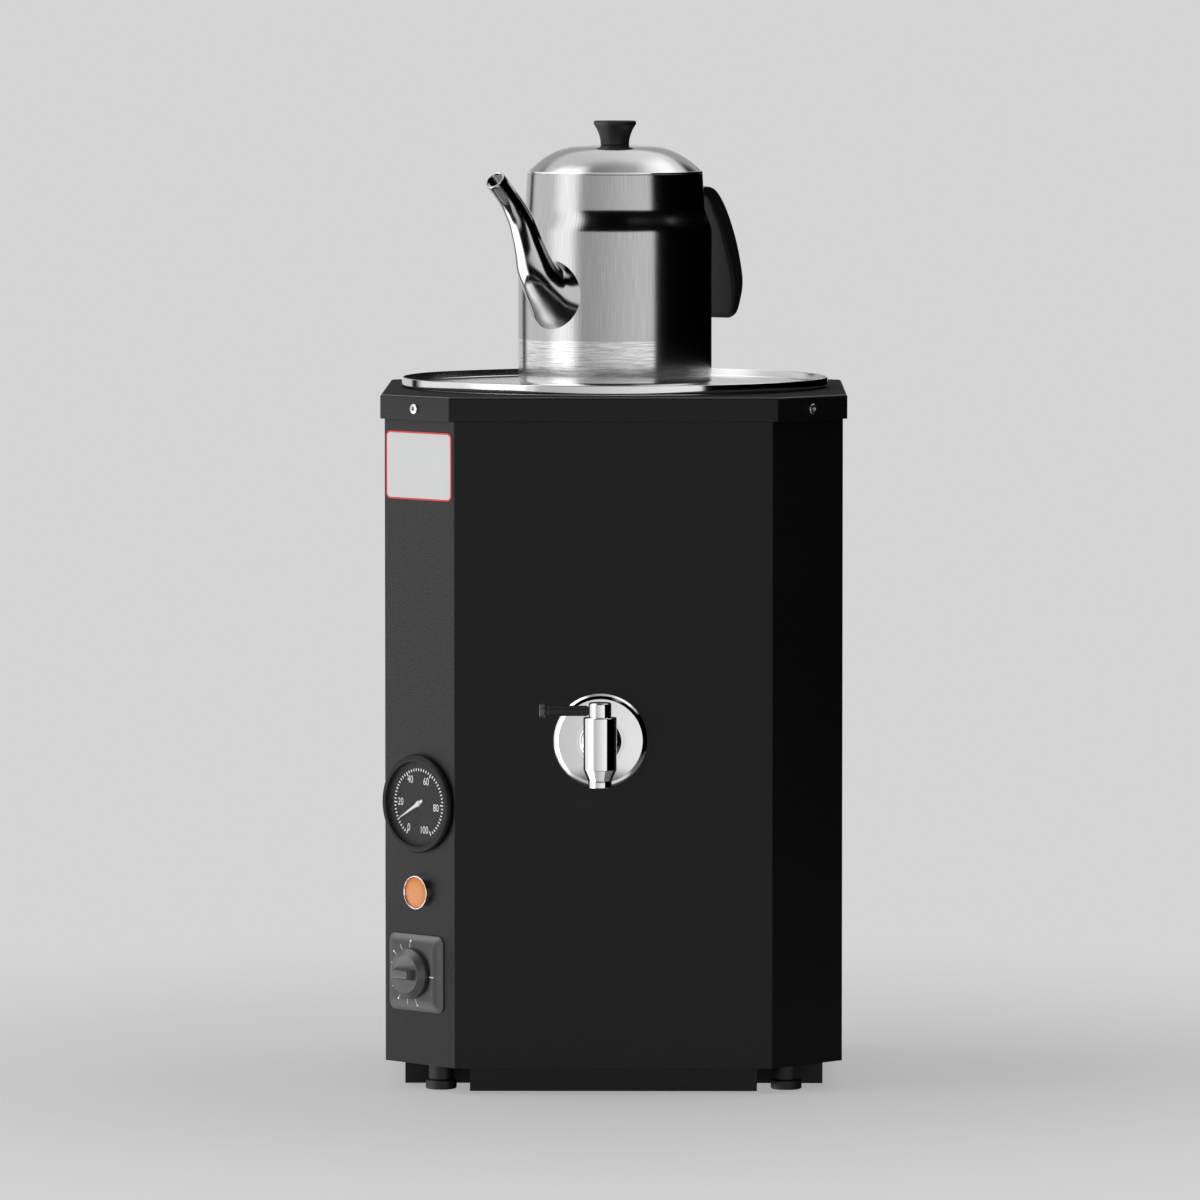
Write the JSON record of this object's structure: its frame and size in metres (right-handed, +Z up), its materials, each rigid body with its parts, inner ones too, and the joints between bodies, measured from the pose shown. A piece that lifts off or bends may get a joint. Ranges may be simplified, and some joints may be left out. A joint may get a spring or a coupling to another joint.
{
  "type": "tea urn",
  "caption": "Electric tea urn: black chamfered casing with front tap, dial thermometer, pilot lamp and thermostat, and a steel teapot standing on the tank lid.",
  "frame": {"origin": "on the ground, under the middle of the urn's overall box (tap front to cable inlet)", "axes": "+Z up along the tank's axis, -Y towards the tap, +X to the right seen from the front"},
  "size_m": [0.3158, 0.3884, 0.654],
  "materials": {
    "coat": "fine-textured black powder coat",
    "steel": "brushed stainless steel",
    "polished": "polished stainless steel",
    "tap_chrome": "bright chrome plate",
    "screw": "bright zinc",
    "black_plastic": "matt black moulding",
    "grey_plastic": "satin dark grey moulding",
    "dial": "matt dark grey print",
    "needle": "white enamel",
    "clear": "clear",
    "amber": "translucent orange",
    "rubber": "matt",
    "brass": "machined",
    "wool": "glass wool",
    "ceramic": "glazed white"
  },
  "bodies": {
    "urn": {"casing_shell": "coat", "rear_panel": "coat", "rear_screws": "screw", "top_cover": "coat", "cover_rivets": "screw", "base_plate": "coat", "base_pan": "coat", "foot_front_left": "black_plastic", "foot_front_right": "black_plastic", "foot_rear_left": "black_plastic", "foot_rear_right": "black_plastic", "foot_screws": "screw", "foot_nuts": "screw", "water_tank": "steel", "tank_bottom": "steel", "tank_insulation": "wool", "tap_socket": "steel", "thermowell": "steel", "bulb_pocket": "steel", "heating_tubes": "steel", "element_head": "brass", "element_gasket": "rubber", "element_nut": "brass", "tap_body": "tap_chrome", "tap_flange": "tap_chrome", "tap_gasket": "rubber", "thermometer_case": "black_plastic", "thermometer_stem": "steel", "thermometer_dial": "dial", "thermometer_glass": "clear", "thermometer_bezel": "black_plastic", "lamp_bezel": "tap_chrome", "lamp_lens": "amber", "lamp_body": "black_plastic", "lamp_nut": "screw", "thermostat_plate": "grey_plastic", "thermostat_body": "black_plastic", "thermostat_screws": "screw", "thermostat_bulb": "brass", "terminal_block": "ceramic", "cable_gland": "black_plastic", "gland_nut": "black_plastic"},
    "tap_handle": {"tap_spindle": "tap_chrome", "spindle_seals": "rubber", "tap_lever": "black_plastic", "lever_cap": "black_plastic"},
    "thermostat_control": {"thermostat_knob": "grey_plastic", "thermostat_shaft": "steel"},
    "needle": {"thermometer_needle": "needle"},
    "lid": {"tank_lid": "steel", "lid_rim": "steel", "lid_ring": "steel"},
    "teapot": {"teapot_body": "steel", "teapot_spout": "polished", "handle_bracket": "steel", "teapot_handle": "black_plastic", "handle_screw": "screw"},
    "pot_lid": {"teapot_lid": "steel", "lid_knob": "black_plastic", "lid_knob_screw": "screw"}
  },
  "joints": [
    {"name": "tap_turn", "type": "hinge", "parent": "urn", "child": "tap_handle", "pos_m": [-0.0085, -0.183, 0.24], "axis": [0, 0, 1], "range_deg": [0, 90]},
    {"name": "thermostat_turn", "type": "hinge", "parent": "urn", "child": "thermostat_control", "pos_m": [-0.13277, -0.10723, 0.08], "axis": [-0.7071, -0.7071, 0], "range_deg": [-185, 103]},
    {"name": "needle_turn", "type": "hinge", "parent": "urn", "child": "needle", "pos_m": [-0.131, -0.109, 0.195], "axis": [-0.7071, -0.7071, 0], "range_deg": [-270, 30]},
    {"name": "lid_lift", "type": "slide", "parent": "urn", "child": "lid", "axis": [0, 0, 1], "range_m": [0, 0.08]},
    {"name": "teapot_lift", "type": "slide", "parent": "lid", "child": "teapot", "axis": [0, 0, 1], "range_m": [0, 0.1]},
    {"name": "pot_lid_lift", "type": "slide", "parent": "teapot", "child": "pot_lid", "axis": [0, 0, 1], "range_m": [0, 0.06]}
  ]
}
